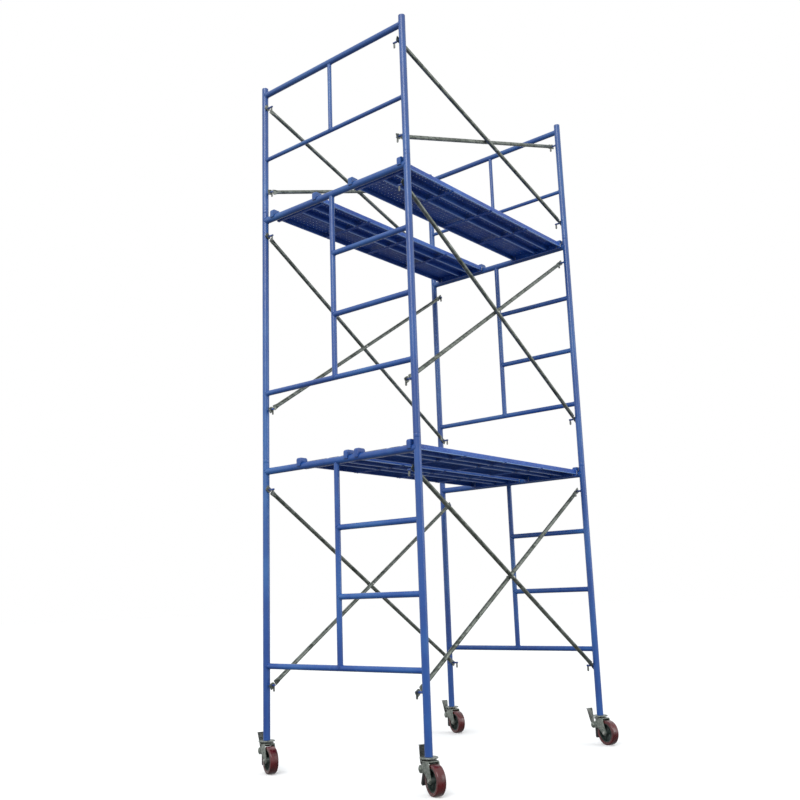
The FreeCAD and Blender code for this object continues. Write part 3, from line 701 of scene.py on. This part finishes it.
def perforated(shape, y_from, y_to, x_from, x_to):
    """Sheet with rows of small raised, pierced dimples."""
    columns = max(1, round((y_to - y_from) / PERFORATION))
    rows = max(1, round((x_to - x_from) / PERFORATION))
    dy, dx = (y_to - y_from) / columns, (x_to - x_from) / rows
    turns = angles(8)
    edge = cell_edge(turns, dx / 2, dy / 2)
    top, bottom, rise = DECK_TOP, DECK_TOP - SHEET, 2.4 * MM
    levels = ((8.6 * MM, top), (3.6 * MM, top + rise), (2.2 * MM, bottom + rise), (8.0 * MM, bottom))
    for row in range(rows):
        for column in range(columns):
            cx = x_from + (row + 0.5) * dx
            cy = y_from + (column + 0.5) * dy
            rings = [[Vector((cx + a, cy + b, top)) for a, b in edge]]
            for radius, z in levels:
                rings.append([Vector((cx + radius * math.cos(a), cy + radius * math.sin(a), z))
                              for a in turns])
            rings.append([Vector((cx + a, cy + b, bottom)) for a, b in edge])
            shape.loft(rings)


def hook_outline(sign):
    """Side view of a hook: over the header tube, with a rounded shoulder and nose."""
    saddle, nose, tip, crown = 21.8 * MM, 29 * MM, -3 * MM, 50 * MM
    back_round, nose_round = 14 * MM, 15 * MM
    back = -(BAY / 2 - PLANK_HALF_LENGTH + 6 * MM)
    turn = math.degrees(math.asin(-tip / saddle))
    outline = [(back, tip), (back, crown - back_round - 2 * MM)]
    outline += arc((back + back_round, crown - back_round), back_round, 170, 90, 5)
    outline += arc((nose - nose_round, crown - nose_round), nose_round, 90, 0, 7)
    outline += [(nose, tip)]
    outline += arc((0, 0), saddle, -turn, 180 + turn, 18)
    return [(sign * a, b) for a, b in outline]


def plank(name):
    """One hook-on plank: dimpled deck, folded edges, ribs, ends, stiffeners and hooks."""
    low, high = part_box(name)
    centre = Vector(((low.x + high.x) / 2, (low.y + high.y) / 2, low.z - END_BOTTOM))
    deck, rubs_and_highlights, steel, hooks, marks = Shape(), Shape(), Shape(), Shape(), Shape()
    ends = (-PLANK_HALF_LENGTH, PLANK_HALF_LENGTH)
    for sign in (-1, 1):
        fold(deck, side_line(sign), SHEET, *ends)
        # painted highlight along the bottom of each lip
        highlight_strip(rubs_and_highlights, sign * (PLANK_HALF_WIDTH - LIP / 2), LIP / 2 - 1 * MM, EDGE_BOTTOM)
    for rib in RIBS:
        fold(deck, rib_line(rib), SHEET, *ends)
        # painted highlight along the bottom of each rib
        highlight_strip(rubs_and_highlights, rib, RIB_HALF - 2.5 * MM, RIB_BOTTOM)
    rib_rim, edge_fold = 5.2 * MM, 12.8 * MM
    rim, edge = RIB_HALF + rib_rim, PLANK_HALF_WIDTH - edge_fold
    stops = [-edge] + [rib + side for rib in RIBS for side in (-rim, rim)] + [edge]
    for y_from, y_to in zip(stops[::2], stops[1::2]):
        perforated(deck, y_from, y_to, *ends)
    inside = PLANK_HALF_WIDTH - SHEET
    for sign in (-1, 1):
        end_channel(steel, sign, inside)
        for y in (-HOOK_OFFSET, HOOK_OFFSET):
            hooks.prism(hook_outline(sign), Vector((sign * BAY / 2, y, 0)), X, Z, HOOK_WIDTH)
            hook_weld(marks, sign, y)
    for step in (-1, 0, 1):
        stiffener(steel, marks, step * STIFFENER_SPACING)
    for shape in (deck, rubs_and_highlights, steel, hooks, marks):
        shape.transform(Matrix.Translation(centre))
    piece(f"deck_{name}", deck, PLANK_PAINT, name, [name], sharp=40)
    # the pale skins on rib and lip bottoms are a painted highlight
    piece(f"rubbed_{name}", rubs_and_highlights, HIGHLIGHT_PAINT, name, sharp=40)
    piece(f"ends_{name}", steel, PLANK_PAINT, name, bevel=0.9 * MM)
    piece(f"hooks_{name}", hooks, FRAME_PAINT, name, bevel=3.6 * MM, sharp=50)
    piece(f"welds_{name}", marks, WELD, name, sharp=80)


def end_channel(shape, sign, inside):
    """Channel across the plank's end, with its lower flange turned inward."""
    face, under = PLANK_HALF_LENGTH - SHEET, DECK_TOP - SHEET
    foot, flange, thick, proud = END_BOTTOM, 16 * MM, 2.4 * MM, 1.4 * MM
    front, back = face + proud, face + proud - thick
    outline = [(front, under), (back, under), (back, foot + thick),
               (face - flange, foot + thick), (face - flange, foot), (front, foot)]
    shape.prism([(sign * a, b) for a, b in outline], ORIGIN, X, Z, 2 * inside)


def hook_weld(shape, sign, y):
    """Short fillet welds where a hook's side plates meet the end channel."""
    face, beside = sign * (PLANK_HALF_LENGTH - 3.2 * MM), HOOK_WIDTH / 2 + 2 * MM
    for offset in (-beside, beside):
        start, end = Vector((face, y + offset, 22 * MM)), Vector((face, y + offset, -8 * MM))
        line_weld(shape, start, end, 2.0 * MM)


def line_weld(shape, start, end, radius):
    """A straight run of weld with rippled thickness and rounded ends."""
    run = (end - start).normalized()
    ripple_length, ripple, ripple_turn, end_share = 2.2 * MM, 0.25, 1.9, 0.35
    steps = max(4, round((end - start).length / ripple_length))
    across, up = basis(run)
    rings = []
    for i in range(steps + 1):
        share = i / steps
        size = radius * (end_share if i in (0, steps) else 1 + ripple * math.sin(i * ripple_turn))
        rings.append([start.lerp(end, share) + (across * math.cos(a) + up * math.sin(a)) * size
                      for a in angles(WELD_SIDES)])
    shape.loft(rings, caps=True)


def stiffener(shape, marks, x):
    """Strap across the underside, dished along its middle and tacked to lips and ribs."""
    half, low, high = STIFFENER_HALF, STIFFENER_BOTTOM, STIFFENER_TOP
    reach = PLANK_HALF_WIDTH - LIP + 1 * MM
    border, slope, dish = 4 * MM, 2 * MM, 3 * MM
    right = [(half - border - slope, low + dish), (half - border, low), (half, low), (half, high)]
    outline = [(-a, b) for a, b in reversed(right)] + right
    shape.prism(outline, Vector((x, 0, 0)), X, Z, 2 * reach)
    inset, rib_side, weld_half, weld_radius = 3 * MM, RIB_HALF + 2 * MM, 6 * MM, 1.7 * MM
    tacks = [inset - reach, reach - inset]
    tacks += [rib + side for rib in RIBS for side in (-rib_side, rib_side)]
    for y in tacks:
        for side in (-half, half):
            at = Vector((x + side, y, low + 1.5 * MM))
            line_weld(marks, at - Y * weld_half, at + Y * weld_half, weld_radius)


for node_name in sorted(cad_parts):
    if node_name.startswith("plank_"):
        plank(node_name)


# ---------------------------------------------------------------- casters

ARM_INNER, ARM_THICK = 28 * MM, 5 * MM
ARM_OUTSIDE = ARM_INNER + ARM_THICK
CROWN_BOTTOM, CROWN_TOP = 159 * MM, 165 * MM
CROWN_FRONT = 50 * MM
AXLE = Vector((TRAIL, 0, WHEEL_R))
PIVOT = Vector((-PEDAL_REACH, 0, PEDAL_HEIGHT))


def millimetres(pairs):
    return [(a * MM, b * MM) for a, b in pairs]


def caster_matrix(corner):
    """From a caster's own axes, with the wheel trailing along X, to the tower's."""
    end, side = corner.split("_")
    turn = Matrix.Rotation(math.radians(HEADINGS[corner]), 4, "Z")
    return Matrix.Translation((ENDS[end], SIDES[side], 0)) @ turn


def arm_outline():
    """Side view of a fork arm: broad under the crown, an ear behind, tapering to the axle."""
    outline = [(-12 * MM, CROWN_TOP), (CROWN_FRONT, CROWN_TOP)]
    outline += arc((AXLE.x, AXLE.z), 17 * MM, 12, -150, 12)
    outline += arc((1 * MM, 90 * MM), 14 * MM, 40, 92, 4)
    outline += arc((PIVOT.x, PIVOT.z), 20 * MM, -80, -270, 14)
    outline += arc((-24 * MM, 152 * MM), 12 * MM, -90, 0, 5)
    return outline


def fork(matrix, corner):
    """Two pressed arms with raised bosses, joined by the crown over a dished race cup."""
    shape = Shape()
    head = millimetres([(13, 0), (13, 2.5), (11, 5), (5, 6.2), (0.01, 6.4)])
    for sign in (-1, 1):
        middle_y = sign * (ARM_INNER + ARM_THICK / 2)
        shape.prism(arm_outline(), Vector((0, middle_y, 0)), X, Z, ARM_THICK)
        out, outside = Y * sign, Y * sign * ARM_OUTSIDE
        for centre, radius, depth in ((AXLE, 14.5 * MM, 1.6 * MM), (PIVOT, 17 * MM, 1.8 * MM)):
            face = depth + 0.8 * MM
            boss = [(radius, -0.5 * MM), (radius, depth), (radius - 2.5 * MM, face), (3 * MM, face)]
            shape.lathe(boss, centre + outside, out, 32)
        shape.lathe(head, PIVOT + outside, out, 28)
    bore, rim, trim = 8.9 * MM, 42 * MM, 2 * MM
    race = [(bore, CROWN_BOTTOM), (rim - trim, CROWN_BOTTOM), (rim, CROWN_BOTTOM + trim),
            (rim, CROWN_TOP - trim / 2), (rim - trim, CROWN_TOP), (bore, CROWN_TOP)]
    shape.lathe(race, ORIGIN, Z, 44, loop=True)
    cup = millimetres([(15.5, 0.5), (30, 0.5), (29, -3), (25, -9), (20, -12), (15.5, -12)])
    shape.lathe(cup, Z * CROWN_BOTTOM, Z, 36, loop=True)
    back, skin = 14 * MM, 0.3 * MM
    bridge = [(back, CROWN_BOTTOM + skin), (CROWN_FRONT, CROWN_BOTTOM + skin),
              (CROWN_FRONT, CROWN_TOP - skin), (back, CROWN_TOP - skin)]
    shape.prism(bridge, ORIGIN, X, Z, 2 * ARM_INNER + 2 * MM)
    shape.transform(matrix)
    piece(f"fork_{corner}", shape, CASTER_ZINC, f"swivel_{corner}",
          [f"caster_{corner}_fork"], bevel=0.9 * MM)


def hexagon(shape, centre, axis, across_flats, height):
    """A hexagon head with its corners turned down."""
    tip = across_flats / math.sqrt(3)
    shape.lathe([(tip * 0.94, 0), (tip, 0.8 * MM), (tip, height - 1 * MM), (tip * 0.88, height)],
                centre, axis, 6, caps=True)


def axle(matrix, corner):
    """Bolt and nut with washers outside the arms."""
    shape = Shape()
    face, washer, radius = ARM_OUTSIDE + 2.4 * MM, 1.6 * MM, 5.9 * MM
    for sign in (-1, 1):
        out = Y * sign
        at = AXLE + out * face
        shape.lathe([(12 * MM, 0), (12 * MM, washer), (6 * MM, washer)], at, out, 30)
        hexagon(shape, at + out * washer, out, 19 * MM, 6 * MM)
    reach, chamfer = face + 9.5 * MM, 1 * MM
    shape.lathe([(radius, chamfer - reach), (radius, reach - chamfer), (4.6 * MM, reach)],
                AXLE, Y, 24, caps=True)
    shape.transform(matrix)
    piece(f"wheel_bolt_{corner}", shape, BOLT_ZINC, f"swivel_{corner}",
          [f"caster_{corner}_axle"])


def hub(matrix, corner):
    """Moulded wheel centre: boss, rim, a thin web between them and five spokes on it."""
    shape = Shape()
    rim_out, rim_in, trim = 57.8 * MM, 51 * MM, 1 * MM
    half_rim, half_web, half_boss, half_disc = 22 * MM, 5 * MM, 27.4 * MM, 1.6 * MM
    rim = [(rim_in, -half_rim), (rim_out - trim, -half_rim), (rim_out, trim - half_rim),
           (rim_out, half_rim - trim), (rim_out - trim, half_rim), (rim_in, half_rim),
           (rim_in - 3 * MM, half_web), (rim_in - 3 * MM, -half_web)]
    shape.lathe(rim, AXLE, Y, 60, loop=True)
    boss = [(6.1 * MM, -half_boss), (15 * MM, -half_boss), (17 * MM, -half_boss + 3 * MM),
            (19 * MM, -half_web), (21 * MM, 0), (19 * MM, half_web), (17 * MM, half_boss - 3 * MM),
            (15 * MM, half_boss), (6.1 * MM, half_boss)]
    shape.lathe(boss, AXLE, Y, 40, loop=True)
    disc = [(18 * MM, -half_disc), (rim_in, -half_disc), (rim_in, half_disc), (18 * MM, half_disc)]
    shape.lathe(disc, AXLE, Y, 48, loop=True)
    for turn in angles(5, 0.3):
        spoke(shape, turn, half_web)
    shape.transform(matrix)
    piece(f"hub_{corner}", shape, HUB_PLASTIC, f"wheel_{corner}",
          [f"caster_{corner}_hub"], sharp=30)


def spoke(shape, turn, half_web):
    """One broad ribbed spoke from boss to rim."""
    out = X * math.cos(turn) + Z * math.sin(turn)
    across = out.cross(Y)
    rings = []
    for reach, half, depth in ((17 * MM, 12 * MM, 9 * MM), (26 * MM, 9 * MM, 7 * MM),
                               (38 * MM, 9.5 * MM, 7 * MM), (50 * MM, 16 * MM, 9 * MM)):
        base = AXLE + out * reach
        corners = [(half, half_web * 0.6), (half * 0.45, depth), (-half * 0.45, depth),
                   (-half, half_web * 0.6), (-half, -half_web * 0.6), (-half * 0.45, -depth),
                   (half * 0.45, -depth), (half, -half_web * 0.6)]
        rings.append([base + across * a + Y * b for a, b in corners])
    shape.loft(rings, caps=True)


def tyre(matrix, corner):
    """Tread with rounded shoulders, a raised ring round the hub and two fine mould lines."""
    shape = Shape()
    inner, half, shoulder = 58 * MM, 25 * MM, 8 * MM
    profile = [(inner, half - 1 * MM), (inner + 1 * MM, half), (inner + 5 * MM, half),
               (inner + 6 * MM, half - 0.9 * MM)]
    profile += arc((WHEEL_R - shoulder, half - shoulder), shoulder, 84, 0, 8)
    profile += [(WHEEL_R - 0.1 * MM, 6 * MM), (WHEEL_R, 5.4 * MM)]
    profile += [(r, -y) for r, y in reversed(profile)]
    shape.lathe(profile, AXLE, Y, 72, loop=True)
    shape.transform(matrix)
    piece(f"tyre_{corner}", shape, TREAD, f"wheel_{corner}",
          [f"caster_{corner}_tyre"], sharp=50)


def pedal(matrix, corner):
    """Brake lever and shoe, placed on their pivot."""
    tilt = Matrix.Rotation(math.radians(RELEASE_ANGLE if corner == RELEASED_CORNER else 0), 4, "Y")
    place = matrix @ Matrix.Translation(PIVOT) @ tilt
    lever, shoe = brake_lever(), brake_shoe()
    lever.transform(place)
    shoe.transform(place)
    piece(f"brake_lever_{corner}", lever, PEDAL_ZINC, f"brake_{corner}",
          [f"caster_{corner}_pedal"], sharp=30)
    piece(f"brake_shoe_{corner}", shoe, SHOE_PLASTIC, f"brake_{corner}", bevel=1.2 * MM)


def brake_lever():
    """A pressed plate with turned-up sides, raised ribs and a ridged tread, on its pivot barrel."""
    shape = Shape()
    stations = [((-4, 1), 13), ((-20, 4), 13), ((-33, 8), 13.5), ((-38, 14), 14), ((-42, 26), 15),
                ((-50, 58), 18), ((-58, 90), 21.5), ((-60, 95), 22), ((-64, 96.5), 22), ((-71, 94), 21)]
    rings = []
    thick, wall = 1.5, 3
    for i, ((x, z), half) in enumerate(stations):
        before, after = stations[max(i - 1, 0)][0], stations[min(i + 1, len(stations) - 1)][0]
        along = Vector((after[0] - before[0], 0, after[1] - before[1])).normalized()
        face = along.cross(Y)
        lip = 5.0 if 2 < i < 7 else 1.2
        section = [(-half, lip), (-half, -thick), (half, -thick), (half, lip), (half - wall, lip),
                   (half - wall - 0.2, thick), (wall + 0.2 - half, thick), (wall - half, lip)]
        rings.append([(Vector((x, 0, z)) + Y * a + face * b) * MM for a, b in section])
    shape.loft(rings, caps=True)
    low, high, sink = Vector((-43, 0, 26)), Vector((-57, 0, 88)), X * -1.6
    for y in (-6.5, 0, 6.5):
        line_weld(shape, (low + Y * y * 0.7 + sink) * MM, (high + Y * y + sink) * MM, 1.3 * MM)
    for ridge in range(4):
        at = Vector((-59.5 - ridge * 3.2, 0, 96.6 - ridge * 0.7))
        line_weld(shape, (at - Y * 19) * MM, (at + Y * 19) * MM, 0.9 * MM)
    barrel = [(4.06, -27), (8, -27), (9, -26), (9, 26), (8, 27), (4.06, 27)]
    shape.lathe(millimetres(barrel), ORIGIN, Y, 28, loop=True)
    return shape


def brake_shoe():
    """The moulded block that the lever presses on the tread, with three ribs behind it."""
    shape = Shape()
    outline = [(5, 0), (12, 2), (22, -6), (25.5, -20), (25.5, -60), (22, -79), (8, -79), (5, -70)]
    shape.prism(millimetres(outline), ORIGIN, X, Z, 41 * MM)
    rib = millimetres([(1.5, -14), (6, -14), (6, -74), (3, -74)])
    for y in (-12, 0, 12):
        shape.prism(rib, Vector((0, y * MM, 0)), X, Z, 4 * MM)
    return shape


def stems():
    """Stems, top plates with a rolled rim, ball races and king pins of all casters."""
    shape = Shape()
    plate = [(18.3, 40), (18.3, 0), (30, 0), (44, -0.4), (47.5, -1.2), (48.5, -3), (48, -6.5),
             (46.5, -7), (45.5, -4.5), (35, -3.6), (35, -8), (33, -8.6), (20, -8.6)]
    pin = [(8, -8), (8, -23), (14, -23), (14, -26), (10, -28), (0.01, -28)]
    for corner in HEADINGS:
        end, side = corner.split("_")
        base = Vector((ENDS[end], SIDES[side], CASTER_TOP))
        for profile in (plate, pin):
            shape.lathe(millimetres(profile), base, Z, 48)
    piece("caster_top_plates", shape, CASTER_ZINC, "tower",
          ["caster_stems", "caster_races"])


stems()
for corner in HEADINGS:
    matrix = caster_matrix(corner)
    for make in (fork, axle, hub, tyre, pedal):
        make(matrix, corner)


# ---------------------------------------------------------------- floor, light and camera

def floor():
    """A wide floor that bounces no light back onto the object."""
    bpy.ops.mesh.primitive_plane_add(size=120, location=(0, 0, 0))
    plane = bpy.context.object
    plane.name = "floor"
    plane.data.materials.append(pale_floor())
    plane.visible_diffuse = False
    plane.visible_glossy = False


def sky():
    """A dome that the camera sees as white, and that lights from above more than from below."""
    world = bpy.data.worlds.new("studio")
    bpy.context.scene.world = world
    world.use_nodes = True
    nodes, link = world.node_tree.nodes, world.node_tree.links.new
    nodes.clear()
    output, mix = nodes.new("ShaderNodeOutputWorld"), nodes.new("ShaderNodeMixShader")
    seen, light = nodes.new("ShaderNodeBackground"), nodes.new("ShaderNodeBackground")
    place, parts = nodes.new("ShaderNodeTexCoord"), nodes.new("ShaderNodeSeparateXYZ")
    spread, ramp = nodes.new("ShaderNodeMapRange"), nodes.new("ShaderNodeValToRGB")
    ray = nodes.new("ShaderNodeLightPath")
    spread.inputs["From Min"].default_value = -1.0
    for element, (position, level) in zip(ramp.color_ramp.elements, ((0.36, 0.24), (0.51, 1.0))):
        element.position = position
        element.color = (level * 0.97, level * 0.99, level, 1)
    seen.inputs["Color"].default_value = (1, 1, 1, 1)
    link(place.outputs["Generated"], parts.inputs["Vector"])
    link(parts.outputs["Z"], spread.inputs["Value"])
    link(spread.outputs["Result"], ramp.inputs["Fac"])
    link(ramp.outputs["Color"], light.inputs["Color"])
    link(ray.outputs["Is Camera Ray"], mix.inputs["Fac"])
    link(light.outputs["Background"], mix.inputs[1])
    link(seen.outputs["Background"], mix.inputs[2])
    link(mix.outputs["Shader"], output.inputs["Surface"])


def lamp(name, place, power):
    """A soft square lamp aimed at the middle of the tower."""
    light = bpy.data.lights.new(name, "AREA")
    light.size, light.energy = 5.0, power
    holder = bpy.data.objects.new(name, light)
    holder.location = place
    aim = Vector((0, 0, 2.2)) - Vector(place)
    holder.rotation_euler = aim.to_track_quat("-Z", "Y").to_euler()
    bpy.context.scene.collection.objects.link(holder)


def camera():
    """A low camera off the A end's right corner, tipped up."""
    place = Vector((-4.834, -3.724, 0.9765))
    heading, pitch, roll = 0.88206, 0.21012, -0.03327      # in radians, heading from +Y toward +X
    forward = Vector((math.sin(heading) * math.cos(pitch), math.cos(heading) * math.cos(pitch),
                      math.sin(pitch)))
    right = Vector((math.cos(heading), -math.sin(heading), 0))
    up = right.cross(forward)
    turned_right = right * math.cos(roll) + up * math.sin(roll)
    turned_up = up * math.cos(roll) - right * math.sin(roll)
    data = bpy.data.cameras.new("camera")
    data.sensor_width, data.lens = 36, 41.735
    data.clip_end = 200
    holder = bpy.data.objects.new("camera", data)
    columns = Matrix((turned_right, turned_up, -forward)).transposed().to_4x4()
    holder.matrix_world = Matrix.Translation(place) @ columns
    bpy.context.scene.collection.objects.link(holder)
    bpy.context.scene.camera = holder


floor()
sky()
lamp("key", (-7.5, -3.0, 7.0), 420.0)
lamp("fill", (3.0, -9.0, 3.5), 180.0)
camera()
bpy.context.scene.view_settings.view_transform = "Standard"
